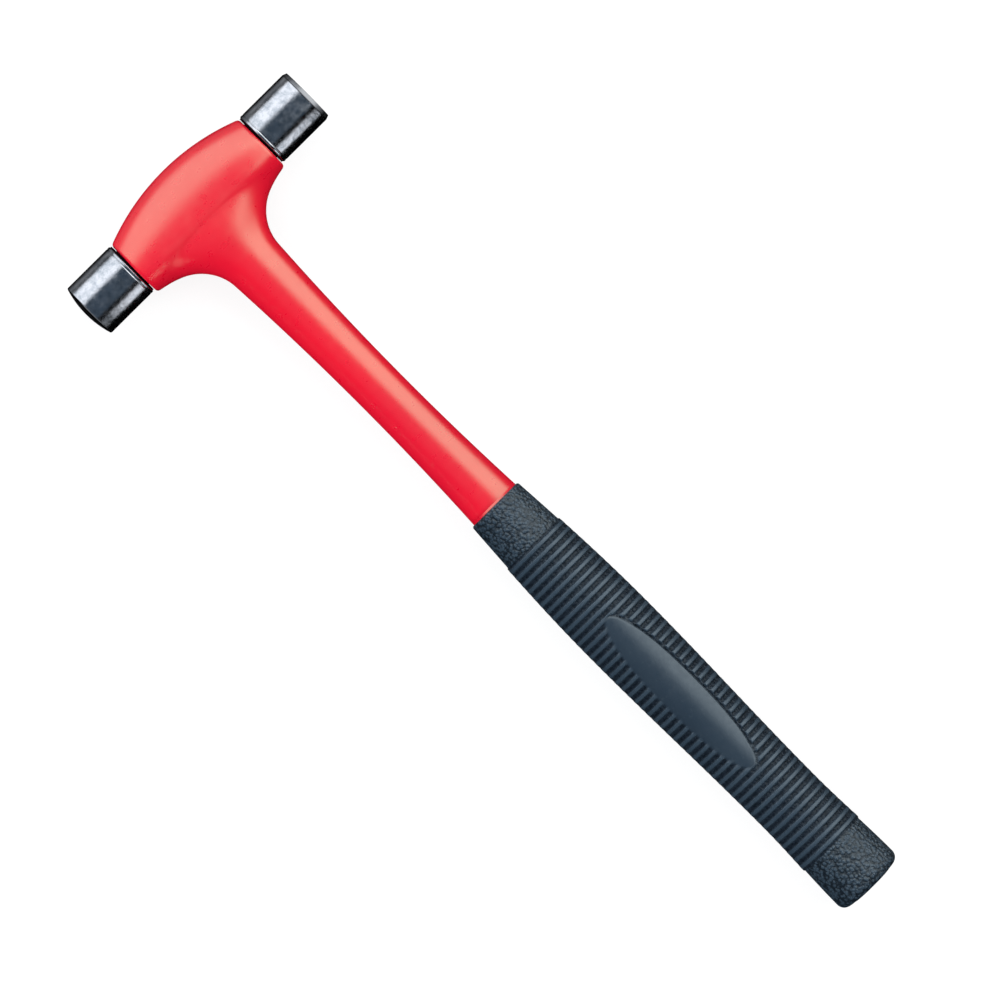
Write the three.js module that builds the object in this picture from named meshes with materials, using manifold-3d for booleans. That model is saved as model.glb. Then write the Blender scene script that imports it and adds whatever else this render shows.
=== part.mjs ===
// A double-faced dead-blow hammer that lies on its side.
// A steel canister holds loose shot between two steel striking faces. A steel rod stands in a socket
// on the canister, and one moulding of red urethane covers the canister, the socket and the rod.
// A ribbed black rubber grip fits over the lower half of the moulded shaft.
// Millimetres. +X runs along the head to the flat face, +Y along the handle to the top of the head,
// and +Z up. The origin is under the middle of the hammer, on the surface that it lies on.
import * as THREE from "three";
import { mergeVertices } from "three/addons/utils/BufferGeometryUtils.js";
import Module from "manifold-3d";

const wasm = await Module();
wasm.setup();

// ---------------------------------------------------------------- driving dimensions

const gap = 0.3; // between two pieces that touch on the real hammer
const overshoot = 2; // how far a cutting tool runs past what it cuts
const arcMiddle = 1 - Math.SQRT1_2; // how far the middle of a rounded edge stands back, over its radius
const sides = { moulding: 32, grip: 36, panel: 40, canister: 40, socket: 24, rod: 20, pin: 16 };

const headLength = 111; // over both striking faces
const faceDiameter = 22.2;
const coverLength = 63.6; // urethane between the two steel faces
const topAboveAxis = 16.9; // top of the moulded head above the head's axis
const buttBelowAxis = 340.8; // butt of the handle below the head's axis
const restHeight = 13.4; // head's axis above the surface, and half the moulded head's thickness

// Moulded head, as half sizes at its ends. Its top is one arc. Its sides run straight over the middle,
// so that the hammer lies steady on them, and curve in towards the ends.
const coverEnd = { top: 10.8, side: 12, bottom: 12.2 };
const sideStraight = 17.7; // half length of the straight stretch
const ridgeBelow = 4; // the moulded head is thickest along a line this far below the head's axis
const coverLip = 0.5; // rounding of the moulded head's end edges

// Moulded shaft: half width and half thickness, thinnest at its waist.
const shaft = { waistAt: 94.8, waist: 9.02, rise: 1.26, riseOver: 53.3, flatness: 0.84 };
const thickUpTo = 11; // half width past which the shaft gets no thicker, near the head
const shoulderFlare = 20; // what the shaft's half width gains where it joins the head
const flareDecay = 4.4; // distance over which the flare falls to 1/e
const flareEnd = 42; // below this distance the shaft is taken as plain
const tang = { from: 154.5, to: 331, halfWidth: 9, halfThickness: 7.5, shoulder: 0.5, chamfer: 1 };

// Grip: half widths at the stations that set its outline.
const grip = {
  mouth: { at: 150.5, half: 11.8 },
  swell: { at: 213, half: 14.4 },
  waist: { at: 299, half: 13.1 },
  flare: { at: 337.2, half: 14.2 },
};
const swellFlatness = 0.87; // half thickness over half width, at the swell and the waist
const gripLip = 0.8;
const buttCorner = 3.3;
const buttFlatHalf = 8.5; // half width of the flat in the middle of the butt
const buttCrown = 0.35;
const panel = { centre: 245.8, halfLength: 38.2, halfWidth: 8.3, depth: 0.9, power: 2.3 };

// Steel inside the head.
const canister = { radius: 10.5, bore: 8.5, halfLength: 24 };
const spigotRadius = canister.bore - gap;
const spigotEnd = 17; // inner end of each face's spigot, from the middle of the head
const spigotChamfer = 0.5;
const faceShoulder = { chamfer: 0.5, seam: 0.6 };
const flatChamfer = { axial: 1.8, radial: 0.9 };
const crownHeight = 1.6;
const crownRim = 0.4;
const pin = { radius: 1.5, faceAt: 20.5, halfLength: 9.6 };
const shot = { radius: 2.7, pitch: 5.5, layerPitch: 5.8, layers: 4, perRing: 6 };
const shotSides = { around: 8, down: 6 };

// Steel inside the handle.
const rod = { radius: 4.5, top: 15, bottom: 322 };
const socket = { radius: 6.5, bottom: 32 };
const rodPin = { at: 26, halfLength: 6 };

// ---------------------------------------------------------------- materials

const finish = {
  urethane: { color: 0xe61d33, roughness: 0.42, metalness: 0 },
  rubber: { color: 0x35424f, roughness: 0.6, metalness: 0 },
  polishedSteel: { color: 0xb9bec6, roughness: 0.12, metalness: 1 },
  tubeSteel: { color: 0x8d9197, roughness: 0.4, metalness: 1 },
  shotSteel: { color: 0x9a9da3, roughness: 0.3, metalness: 1 },
};

// ---------------------------------------------------------------- shapes

// Closed skin over a row of rings that all have the same number of points.
function skin(rings) {
  const count = rings[0].length;
  const centre = (ring) => ring.reduce((sum, p) => sum.add(p), new THREE.Vector3()).divideScalar(count);
  const points = [...rings.flat(), centre(rings[0]), centre(rings.at(-1))];
  const firstCentre = points.length - 2;
  const lastCentre = points.length - 1;
  const lastRing = (rings.length - 1) * count;
  const faces = [];
  for (let i = 0; i < count; i++) {
    const next = (i + 1) % count;
    faces.push(firstCentre, next, i);
    faces.push(lastCentre, lastRing + i, lastRing + next);
    for (let start = 0; start < lastRing; start += count) {
      const above = start + count;
      faces.push(start + i, start + next, above + i);
      faces.push(start + next, above + next, above + i);
    }
  }
  const geometry = new THREE.BufferGeometry().setFromPoints(points);
  geometry.setIndex(faces);
  return geometry;
}

// One ring of angles, turned into points by place(cosine, sine).
function ring(count, place) {
  return Array.from({ length: count }, (_, i) => {
    const angle = (2 * Math.PI * i) / count;
    return place(Math.cos(angle), Math.sin(angle));
  });
}

// Ovals across the handle: each station gives the distance below the head's axis, the half width and
// the half thickness.
function handleSkin(stations, count) {
  return skin(
    stations.map(([below, halfWidth, halfThickness]) =>
      ring(count, (c, s) => new THREE.Vector3(c * halfWidth, -below, s * halfThickness)),
    ),
  );
}

// A profile of [radius, height] turned about the head's axis, with height along +X.
function turned(profile, count) {
  const points = profile.map(([radius, height]) => new THREE.Vector2(radius, height));
  return new THREE.LatheGeometry(points, count).rotateZ(-Math.PI / 2);
}

// A round bar along one axis, from one coordinate to the other.
function bar(axis, radius, from, to, count) {
  const geometry = new THREE.CylinderGeometry(radius, radius, to - from, count);
  geometry.translate(0, (from + to) / 2, 0);
  if (axis === "x") geometry.rotateZ(-Math.PI / 2);
  if (axis === "z") geometry.rotateX(Math.PI / 2);
  return geometry;
}

// ---------------------------------------------------------------- joining and cutting

function toSolid(geometry) {
  const bare = new THREE.BufferGeometry();
  bare.setAttribute("position", geometry.getAttribute("position"));
  bare.setIndex(geometry.index);
  const merged = mergeVertices(bare, 1e-4);
  return new wasm.Manifold(
    new wasm.Mesh({
      numProp: 3,
      vertProperties: merged.attributes.position.array,
      triVerts: new Uint32Array(merged.index.array),
    }),
  );
}

function toGeometry(solid) {
  const mesh = solid.getMesh();
  return new THREE.BufferGeometry()
    .setAttribute("position", new THREE.BufferAttribute(mesh.vertProperties, 3))
    .setIndex(new THREE.BufferAttribute(mesh.triVerts, 1));
}

const cut = (from, ...tools) => tools.reduce((left, tool) => left.subtract(toSolid(tool)), from);

// ---------------------------------------------------------------- moulded cover

const coverHalf = coverLength / 2;

// Height of an outline that stands `middle` high over its straight stretch, and falls in an arc to
// `end` at the moulded head's ends.
function bulge(x, end, middle, straight) {
  const rise = middle - end;
  const radius = ((coverHalf - straight) ** 2 + rise ** 2) / (2 * rise);
  const past = Math.max(0, Math.abs(x) - straight);
  return middle - radius + Math.sqrt(radius ** 2 - past ** 2);
}

function shaftHalfWidth(below) {
  return shaft.waist + shaft.rise * ((below - shaft.waistAt) / shaft.riseOver) ** 2;
}

function mouldedHead() {
  const steps = 14;
  const body = Array.from({ length: steps + 1 }, (_, i) => {
    const x = (coverHalf - coverLip) * ((2 * i) / steps - 1);
    return [x, 0];
  });
  const lip = [
    [coverHalf - arcMiddle * coverLip, arcMiddle * coverLip],
    [coverHalf, coverLip],
  ];
  const stations = [...lip.map(([x, inset]) => [-x, inset]).reverse(), ...body, ...lip];
  const rings = stations.map(([x, inset]) => {
    const top = bulge(x, coverEnd.top, topAboveAxis, 0) + ridgeBelow - inset;
    const side = bulge(x, coverEnd.side, restHeight, sideStraight) - inset;
    const bottom = coverEnd.bottom - ridgeBelow - inset;
    return ring(sides.moulding, (c, s) => {
      const y = s * (s > 0 ? top : bottom) - ridgeBelow;
      return new THREE.Vector3(x, y, -c * side);
    });
  });
  return toSolid(skin(rings));
}

// Half width and half thickness of the moulded shaft, which flares where it leaves the head.
function shaftStation(below) {
  const flare = shoulderFlare * Math.exp(-(below - coverEnd.bottom) / flareDecay);
  const plain = shaftHalfWidth(below);
  return [
    below,
    Math.min(plain + flare, coverHalf - coverLip),
    shaft.flatness * Math.min(plain, thickUpTo),
  ];
}

// The shaft starts inside the moulded head, and ends in the plain tang that the grip fits over.
function mouldedShaft() {
  const { from, to, halfWidth, halfThickness, shoulder, chamfer } = tang;
  const start = coverEnd.bottom;
  const inside = start / 3;
  const flareSteps = 10;
  const plainSteps = 6;
  const stations = [shaftStation(inside)];
  for (let i = 0; i <= flareSteps; i++) {
    stations.push(shaftStation(start + (flareEnd - start) * (i / flareSteps) ** 2));
  }
  for (let i = 1; i <= plainSteps; i++) {
    stations.push(shaftStation(flareEnd + ((from - shoulder - flareEnd) * i) / plainSteps));
  }
  stations.push([from, halfWidth + shoulder, halfThickness + shoulder]);
  stations.push([from + shoulder, halfWidth, halfThickness]);
  stations.push([to - chamfer, halfWidth, halfThickness]);
  stations.push([to, halfWidth - chamfer, halfThickness - chamfer]);
  return toSolid(handleSkin(stations, sides.moulding));
}

function cover() {
  const pocket = canister.halfLength + gap;
  const seat = coverHalf + overshoot;
  return cut(
    mouldedHead().add(mouldedShaft()),
    bar("x", canister.radius + gap, -pocket, pocket, sides.canister),
    bar("x", spigotRadius + gap, -seat, seat, sides.moulding),
    bar("y", socket.radius + gap, -(socket.bottom + gap), 0, sides.socket),
    bar("y", rod.radius + gap, -(rod.bottom + gap), 0, sides.rod),
  );
}

// ---------------------------------------------------------------- grip

// Runs from one value to the next: `quick` starts at full slope, `soft` is level at both ends.
const quick = (from, to, share) => from + (to - from) * Math.sin((Math.PI / 2) * share);
const soft = (from, to, share) => from + ((to - from) * (1 - Math.cos(Math.PI * share))) / 2;

function gripHalfWidth(below) {
  const { mouth, swell, waist, flare } = grip;
  const share = (a, b) => (below - a.at) / (b.at - a.at);
  if (below < swell.at) return quick(mouth.half, swell.half, share(mouth, swell));
  if (below < waist.at) return soft(swell.half, waist.half, share(swell, waist));
  return soft(waist.half, flare.half, Math.min(1, share(waist, flare)));
}

// The flare is as thick as the moulded head, so that both rest on the same surface.
function gripHalfThickness(below) {
  const flatness = restHeight / grip.flare.half;
  const share = THREE.MathUtils.clamp((below - grip.waist.at) / (grip.flare.at - grip.waist.at), 0, 1);
  return gripHalfWidth(below) * soft(swellFlatness, flatness, share);
}

// Rings of the grip's outside, drawn in by `inset` on every side.
function gripStations(inset) {
  const { mouth, flare } = grip;
  const oval = (below, less) => [
    below,
    gripHalfWidth(below) - less - inset,
    gripHalfThickness(below) - less - inset,
  ];
  const steps = 18;
  const start = mouth.at + gripLip;
  const run = flare.at - start;
  const middle = Array.from({ length: steps + 1 }, (_, i) => oval(start + (run * i) / steps, 0));
  const corner = [0.35, 0.7, 1].map((share) => {
    const angle = (Math.PI / 2) * share;
    const below = buttBelowAxis - buttCrown - buttCorner * (1 - Math.sin(angle));
    return oval(below, buttCorner * (1 - Math.cos(angle)));
  });
  const flat = buttFlatHalf * (restHeight / flare.half);
  return [
    oval(mouth.at, gripLip),
    oval(mouth.at + arcMiddle * gripLip, arcMiddle * gripLip),
    ...middle,
    ...corner,
    [buttBelowAxis, buttFlatHalf - inset, flat - inset],
  ];
}

// Recess with a rounded-oval outline, its floor level with the grip's outside drawn in by its depth.
function panelTool(side) {
  const point = (value, half) => half * Math.sign(value) * Math.abs(value) ** (2 / panel.power);
  const outline = ring(
    sides.panel,
    (c, s) => new THREE.Vector2(point(s, panel.halfWidth), point(c, panel.halfLength)),
  );
  const prism = new THREE.ExtrudeGeometry(new THREE.Shape(outline), {
    depth: restHeight + overshoot,
    bevelEnabled: false,
  });
  if (side < 0) prism.rotateY(Math.PI);
  prism.translate(0, -panel.centre, 0);
  return toGeometry(toSolid(prism).subtract(toSolid(handleSkin(gripStations(panel.depth), sides.grip))));
}

function rubberGrip() {
  const shaftHalf = shaftHalfWidth(tang.from);
  const fit = (below, halfWidth, halfThickness) => [below, halfWidth + gap, halfThickness + gap];
  const bore = handleSkin(
    [
      fit(grip.mouth.at - overshoot, shaftHalf, shaft.flatness * shaftHalf),
      fit(tang.from + gap, shaftHalf, shaft.flatness * shaftHalf),
      fit(tang.from + 2 * gap, tang.halfWidth, tang.halfThickness),
      fit(tang.to + gap, tang.halfWidth, tang.halfThickness),
    ],
    sides.moulding,
  );
  return cut(toSolid(handleSkin(gripStations(0), sides.grip)), bore, panelTool(1), panelTool(-1));
}

// ---------------------------------------------------------------- steel faces and canister

const faceRadius = faceDiameter / 2;
const headHalf = headLength / 2;
const faceStart = coverHalf + gap; // where the exposed steel begins

// Spigot, sealing seam and shoulder that both faces share, from the inner end outwards.
const faceRoot = [
  [0, spigotEnd],
  [spigotRadius - spigotChamfer, spigotEnd],
  [spigotRadius, spigotEnd + spigotChamfer],
  [spigotRadius, faceStart + faceShoulder.seam],
  [faceRadius - faceShoulder.chamfer, faceStart + faceShoulder.seam],
  [faceRadius, faceStart + faceShoulder.seam + faceShoulder.chamfer],
];

// Arc of the crowned face, from its rim to its middle.
function crownArc() {
  const rim = faceRadius - crownRim;
  const radius = (rim ** 2 + crownHeight ** 2) / (2 * crownHeight);
  const steps = 5;
  return Array.from({ length: steps + 1 }, (_, i) => {
    const r = rim * (1 - i / steps);
    return [r, headHalf - radius + Math.sqrt(radius ** 2 - r ** 2)];
  });
}

const flatProfile = [
  ...faceRoot,
  [faceRadius, headHalf - flatChamfer.axial],
  [faceRadius - flatChamfer.radial, headHalf],
  [0, headHalf],
];

const crownedProfile = [
  ...faceRoot,
  [faceRadius, headHalf - crownHeight - crownRim],
  ...crownArc(),
];

// Drill for a cross pin, right through whatever lies at that place.
function pinHole(x, y) {
  return bar("z", pin.radius + gap, -restHeight, restHeight, sides.pin).translate(x, y, 0);
}

// Both faces are drilled across their spigots for the pins that hold them.
function strikingFace(profile, side) {
  const geometry = turned(profile, sides.canister);
  if (side < 0) geometry.rotateY(Math.PI);
  return cut(toSolid(geometry), pinHole(side * pin.faceAt, 0));
}

function canisterTube() {
  const { radius, bore, halfLength } = canister;
  return cut(
    toSolid(bar("x", radius, -halfLength, halfLength, sides.canister)),
    bar("x", bore, -halfLength - overshoot, halfLength + overshoot, sides.canister),
    pinHole(-pin.faceAt, 0),
    pinHole(pin.faceAt, 0),
  );
}

// Layers of shot across the bore: one in the middle and six round it, each layer turned half a pitch.
function shotPlaces() {
  const places = [];
  for (let layer = 0; layer < shot.layers; layer++) {
    const x = (layer - (shot.layers - 1) / 2) * shot.layerPitch;
    places.push(new THREE.Vector3(x, 0, 0));
    for (let i = 0; i < shot.perRing; i++) {
      const angle = (2 * Math.PI * (i + (layer % 2) / 2)) / shot.perRing;
      places.push(new THREE.Vector3(x, shot.pitch * Math.cos(angle), shot.pitch * Math.sin(angle)));
    }
  }
  return places;
}

// ---------------------------------------------------------------- handle core

// Boss on the underside of the canister, hollowed to fit it, bored for the rod and drilled for its pin.
function rodSocket() {
  const reach = socket.radius + overshoot;
  return cut(
    toSolid(bar("y", socket.radius, -socket.bottom, 0, sides.socket)),
    bar("x", canister.radius + gap, -reach, reach, sides.canister),
    bar("y", rod.radius + gap, -socket.bottom - overshoot, -rod.top + gap, sides.rod),
    pinHole(0, -rodPin.at),
  );
}

function coreRod() {
  return cut(toSolid(bar("y", rod.radius, -rod.bottom, -rod.top, sides.rod)), pinHole(0, -rodPin.at));
}

// ---------------------------------------------------------------- assembly

const hammer = new THREE.Group();

function add(parent, name, geometry, look, x = 0, y = 0, z = 0) {
  const mesh = new THREE.Mesh(geometry, new THREE.MeshStandardMaterial(look));
  mesh.name = name;
  mesh.position.set(x, y, z);
  parent.add(mesh);
}

function crossPin(halfLength) {
  return bar("z", pin.radius, -halfLength, halfLength, sides.pin);
}

// Everything below is placed from the head's axis, which lies in this group's origin.
const assembly = new THREE.Group();
assembly.position.set(0, (buttBelowAxis - topAboveAxis) / 2, restHeight);
hammer.add(assembly);

add(assembly, "urethane_cover", toGeometry(cover()), finish.urethane);
add(assembly, "rubber_grip", toGeometry(rubberGrip()), finish.rubber);
add(assembly, "flat_face", toGeometry(strikingFace(flatProfile, 1)), finish.polishedSteel);
add(assembly, "crowned_face", toGeometry(strikingFace(crownedProfile, -1)), finish.polishedSteel);
add(assembly, "canister_tube", toGeometry(canisterTube()), finish.tubeSteel);
add(assembly, "rod_socket", toGeometry(rodSocket()), finish.tubeSteel);
add(assembly, "core_rod", toGeometry(coreRod()), finish.tubeSteel);
add(assembly, "flat_face_pin", crossPin(pin.halfLength), finish.tubeSteel, pin.faceAt);
add(assembly, "crowned_face_pin", crossPin(pin.halfLength), finish.tubeSteel, -pin.faceAt);
add(assembly, "rod_pin", crossPin(rodPin.halfLength), finish.tubeSteel, 0, -rodPin.at);

shotPlaces().forEach(({ x, y, z }, i) => {
  const name = `shot_${String(i + 1).padStart(2, "0")}`;
  const ball = new THREE.SphereGeometry(shot.radius, shotSides.around, shotSides.down);
  add(assembly, name, ball, finish.shotSteel, x, y, z);
});

export default hammer;
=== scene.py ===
"""Looks of a double-faced dead-blow hammer that lies on its side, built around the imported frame.

Metres, +Z up. +X runs along the head to the flat face and +Y along the handle to the top of the head.
Shapes are worked out from the head's axis: x along it, `below` down the handle, z across the hammer.
"""

import math

import bmesh
import bpy
import numpy as np
from mathutils import Matrix, Vector


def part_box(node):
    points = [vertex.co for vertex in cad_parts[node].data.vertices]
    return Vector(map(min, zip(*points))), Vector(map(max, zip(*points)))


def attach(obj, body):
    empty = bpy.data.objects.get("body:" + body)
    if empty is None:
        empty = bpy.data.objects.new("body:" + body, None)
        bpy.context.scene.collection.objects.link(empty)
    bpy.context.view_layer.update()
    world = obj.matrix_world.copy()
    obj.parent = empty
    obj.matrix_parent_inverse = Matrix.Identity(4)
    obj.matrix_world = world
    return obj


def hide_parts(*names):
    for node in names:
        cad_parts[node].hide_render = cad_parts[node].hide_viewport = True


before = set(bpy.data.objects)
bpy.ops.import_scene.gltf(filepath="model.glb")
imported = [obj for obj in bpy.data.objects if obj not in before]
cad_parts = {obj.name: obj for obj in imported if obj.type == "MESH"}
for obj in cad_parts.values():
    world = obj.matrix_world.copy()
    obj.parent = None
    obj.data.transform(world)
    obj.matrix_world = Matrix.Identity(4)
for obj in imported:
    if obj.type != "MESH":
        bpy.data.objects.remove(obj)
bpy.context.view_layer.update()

MM = 0.001
HAMMER = "hammer"
SHOT = "shot_charge"

# ---------------------------------------------------------------- places and sizes from the frame

face_low, face_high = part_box("flat_face")
cover_low, cover_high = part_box("urethane_cover")
grip_low, grip_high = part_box("rubber_grip")
tube_low, tube_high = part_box("canister_tube")
socket_low, socket_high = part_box("rod_socket")
rod_low, rod_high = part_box("core_rod")
pin_low, pin_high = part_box("flat_face_pin")
rod_pin_low, rod_pin_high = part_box("rod_pin")

AXIS_Y = (face_low.y + face_high.y) / 2
AXIS_Z = (face_low.z + face_high.z) / 2
ORIGIN = Vector((0, AXIS_Y, AXIS_Z))
FACE_RADIUS = (face_high.z - face_low.z) / 2
HEAD_HALF = face_high.x
COVER_HALF = cover_high.x
COVER_TOP = cover_high.y - AXIS_Y
COVER_SIDE = cover_high.z - AXIS_Z
MOUTH = AXIS_Y - grip_high.y
BUTT = AXIS_Y - grip_low.y
TANG_END = AXIS_Y - cover_low.y
TUBE_RADIUS = (tube_high.z - tube_low.z) / 2
TUBE_HALF = tube_high.x
SOCKET_RADIUS = (socket_high.x - socket_low.x) / 2
SOCKET_END = AXIS_Y - socket_low.y
ROD_RADIUS = (rod_high.x - rod_low.x) / 2
ROD_TOP = AXIS_Y - rod_high.y
ROD_END = AXIS_Y - rod_low.y
SPIGOT_END = face_low.x
PIN_RADIUS = (pin_high.x - pin_low.x) / 2
PIN_X = (pin_high.x + pin_low.x) / 2
PIN_HALF = (pin_high.z - pin_low.z) / 2
ROD_PIN_BELOW = AXIS_Y - (rod_pin_high.y + rod_pin_low.y) / 2
ROD_PIN_HALF = (rod_pin_high.z - rod_pin_low.z) / 2

# Outlines between those sizes, the same as in the CAD model. `below` is measured from the head's axis.
GAP = 0.3 * MM
TUBE_BORE = 8.5 * MM
SPIGOT_RADIUS = TUBE_BORE - GAP
SPIGOT_CHAMFER = 0.5 * MM
COVER_END = {"top": 10.8 * MM, "side": 12 * MM, "bottom": 12.2 * MM}
SIDE_STRAIGHT = 17.7 * MM
RIDGE_BELOW = 4 * MM
SHAFT_WAIST_AT, SHAFT_WAIST = 94.8 * MM, 9.02 * MM
SHAFT_RISE, SHAFT_RISE_OVER = 1.26 * MM, 53.3 * MM
SHAFT_FLATNESS = 0.84
SHAFT_THICK_UP_TO = 11 * MM
FLARE, FLARE_DECAY = 20 * MM, 4.4 * MM
TANG_FROM, TANG_SHOULDER = 154.5 * MM, 0.5 * MM
TANG_WIDTH, TANG_THICKNESS = 9 * MM, 7.5 * MM
MOUTH_HALF = 11.8 * MM
SWELL_AT, SWELL = 213 * MM, 14.4 * MM
WAIST_AT, WAIST = 299 * MM, 13.1 * MM
FLARE_AT, BUTT_FLARE = 337.2 * MM, 14.2 * MM
SWELL_FLATNESS = 0.87
LIP = 0.8 * MM
BUTT_CORNER = 3.3 * MM
BUTT_CROWN = 0.35 * MM
BUTT_FLAT = 8.5 * MM
CROWN, CROWN_RIM = 1.6 * MM, 0.4 * MM

# Outlines that are finer or fuller here than in the CAD model. The saddle between head and shaft has
# the first radius at the sides of the hammer and widens towards the second where both face up or down.
COVER_LIP = 1.0 * MM
SHAFT_START = 4.5 * MM
UNDERSIDE, UNDERSIDE_STRAIGHT = 13.5 * MM, 22 * MM
SADDLE_SIDE, SADDLE_FRONT = 16.5 * MM, 46 * MM
LEAST_BLEND = 0.4 * MM
PANEL = {"centre": 243.9 * MM, "length": 37.7 * MM, "width": 8.3 * MM, "power": 2.3}
SEAM = 0.45 * MM
NECK_DEPTH = 0.45 * MM
SHOULDER = 0.35 * MM
EDGE = 0.12 * MM
CHAMFER_AXIAL, CHAMFER_RADIAL = 1.6 * MM, 0.6 * MM
TURNED_GROOVE = {"at": 1.3 * MM, "half": 0.28 * MM, "depth": 0.14 * MM}
FACE_START = COVER_HALF + GAP + SEAM


# ---------------------------------------------------------------- mesh helpers


def mesh_object(name, points, faces, smooth=True):
    """A mesh object from points and faces, its normals turned outwards."""
    mesh = bpy.data.meshes.new(name)
    mesh.from_pydata([tuple(p) for p in points], [], faces)
    work = bmesh.new()
    work.from_mesh(mesh)
    bmesh.ops.recalc_face_normals(work, faces=work.faces)
    work.to_mesh(mesh)
    work.free()
    if smooth:
        mesh.shade_smooth()
    made = bpy.data.objects.new(name, mesh)
    bpy.context.scene.collection.objects.link(made)
    return made


def loft(name, rings):
    """A closed skin over rings of points, each an array of the same length, with a fan at each end."""
    rings = [np.asarray(r, float) for r in rings]
    sides = len(rings[0])
    points = np.vstack([*rings, rings[0].mean(0)[None], rings[-1].mean(0)[None]])
    first, last = len(points) - 2, len(points) - 1
    faces = []
    top = (len(rings) - 1) * sides
    for i in range(sides):
        j = (i + 1) % sides
        faces.append((first, j, i))
        faces.append((last, top + i, top + j))
        for k in range(0, top, sides):
            faces.append((k + i, k + j, k + sides + j, k + sides + i))
    return mesh_object(name, points, faces)


def lathe(name, profile, segments):
    """A profile of (radius, x) points turned about the head's axis, starting and ending on the axis."""
    angles = np.linspace(0, 2 * math.pi, segments, endpoint=False)
    rings = []
    for radius, x in profile[1:-1]:
        rings.append(
            np.stack([np.full(segments, x), radius * np.cos(angles), radius * np.sin(angles)], 1)
        )
    made = loft(name, rings)
    mesh = made.data
    count = len(mesh.vertices)
    mesh.vertices[count - 2].co.x = profile[0][1]
    mesh.vertices[count - 1].co.x = profile[-1][1]
    return made


def rounded(corners, radius, steps=4):
    """The same row of (radius, x) corners, each inner one rounded off from at most that far away."""
    points = [np.array(c, float) for c in corners]
    made = [points[0]]
    for before, corner, after in zip(points, points[1:], points[2:]):
        back, ahead = before - corner, after - corner
        reach = min(radius, 0.45 * np.linalg.norm(back), 0.45 * np.linalg.norm(ahead))
        start = corner + back / np.linalg.norm(back) * reach
        end = corner + ahead / np.linalg.norm(ahead) * reach
        for t in np.linspace(0, 1, steps + 1):
            made.append((1 - t) ** 2 * start + 2 * t * (1 - t) * corner + t * t * end)
    made.append(points[-1])
    return [tuple(p) for p in made]


def bar(name, radius, start, end, segments, chamfer=0.0):
    """A round bar from one point to another, measured from the head's axis, with its ends chamfered."""
    start, end = Vector(start), Vector(end)
    length = (end - start).length
    profile = [(0, 0), (radius - chamfer, 0), (radius, chamfer), (radius, length - chamfer)]
    profile += [(radius - chamfer, length), (0, length)]
    if not chamfer:
        profile = [(0, 0), (radius, 0), (radius, length), (0, length)]
    made = lathe(name, profile, segments)
    turn = Vector((1, 0, 0)).rotation_difference(end - start).to_matrix().to_4x4()
    made.data.transform(Matrix.Translation(start) @ turn)
    return made


def cut(target, tools):
    """Takes the tools away from the target and removes them."""
    for tool in tools:
        modifier = target.modifiers.new("cut", "BOOLEAN")
        modifier.operation = "DIFFERENCE"
        modifier.solver = "MANIFOLD"
        modifier.object = tool
        apply_modifiers(target)
        bpy.data.objects.remove(tool)
    return target


def apply_modifiers(target):
    """Replaces the mesh by what its modifiers make of it."""
    graph = bpy.context.evaluated_depsgraph_get()
    made = bpy.data.meshes.new_from_object(target.evaluated_get(graph))
    old = target.data
    target.modifiers.clear()
    target.data = made
    bpy.data.meshes.remove(old)


def vertices_of(mesh):
    """The mesh's points as rows of an array."""
    flat = np.zeros(len(mesh.vertices) * 3, np.float32)
    mesh.vertices.foreach_get("co", flat)
    return flat.reshape(-1, 3).astype(float)


def set_vertices(mesh, points):
    """Moves the mesh's points to the rows of an array."""
    mesh.vertices.foreach_set("co", points.astype(np.float32).ravel())
    mesh.update()


def place(piece, body, material, slot, *nodes, angle=35):
    """Moves a piece from the head's axis to its place, gives it its material and body, and hides the CAD
    nodes that it replaces.
    """
    piece.data.transform(Matrix.Translation(ORIGIN))
    piece.data.materials.clear()
    piece.data.materials.append(material)
    if angle:
        sharpen(piece.data, angle)
    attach(piece, body)
    if nodes:
        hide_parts(*nodes)
    return piece


def sharpen(mesh, angle):
    """Smooth shading, with edges over that many degrees kept sharp."""
    mesh.shade_smooth()
    mesh.set_sharp_from_angle(angle=math.radians(angle))


# ---------------------------------------------------------------- outlines


def smoothstep(value, low, high):
    """0 up to the low value, 1 from the high value on, and a smooth curve between."""
    t = np.clip((value - low) / (high - low), 0, 1)
    return t * t * (3 - 2 * t)


def bulge(x, end, middle, straight=0.0):
    """An outline `middle` high over its straight stretch, falling in an arc to `end` at the ends."""
    rise = middle - end
    radius = ((COVER_HALF - straight) ** 2 + rise**2) / (2 * rise)
    past = np.maximum(np.abs(x) - straight, 0)
    return middle - radius + np.sqrt(np.maximum(radius**2 - past**2, 0))


def cover_top(x):
    """Height of the moulded head's top above the head's axis."""
    return bulge(x, COVER_END["top"], COVER_TOP)


def cover_side(x):
    """Half thickness of the moulded head."""
    return bulge(x, COVER_END["side"], COVER_SIDE, SIDE_STRAIGHT)


def cover_bottom(x):
    """Depth of the moulded head's underside below the head's axis."""
    return bulge(x, COVER_END["bottom"], UNDERSIDE, UNDERSIDE_STRAIGHT)


def cover_height(x, off_ridge):
    """Distance from the head's thickest line to its top or, on that line's other side, its bottom."""
    return np.where(off_ridge > 0, cover_top(x) + RIDGE_BELOW, cover_bottom(x) - RIDGE_BELOW)


def shaft_width(below):
    """Half width of the plain shaft."""
    return SHAFT_WAIST + SHAFT_RISE * ((below - SHAFT_WAIST_AT) / SHAFT_RISE_OVER) ** 2


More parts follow.
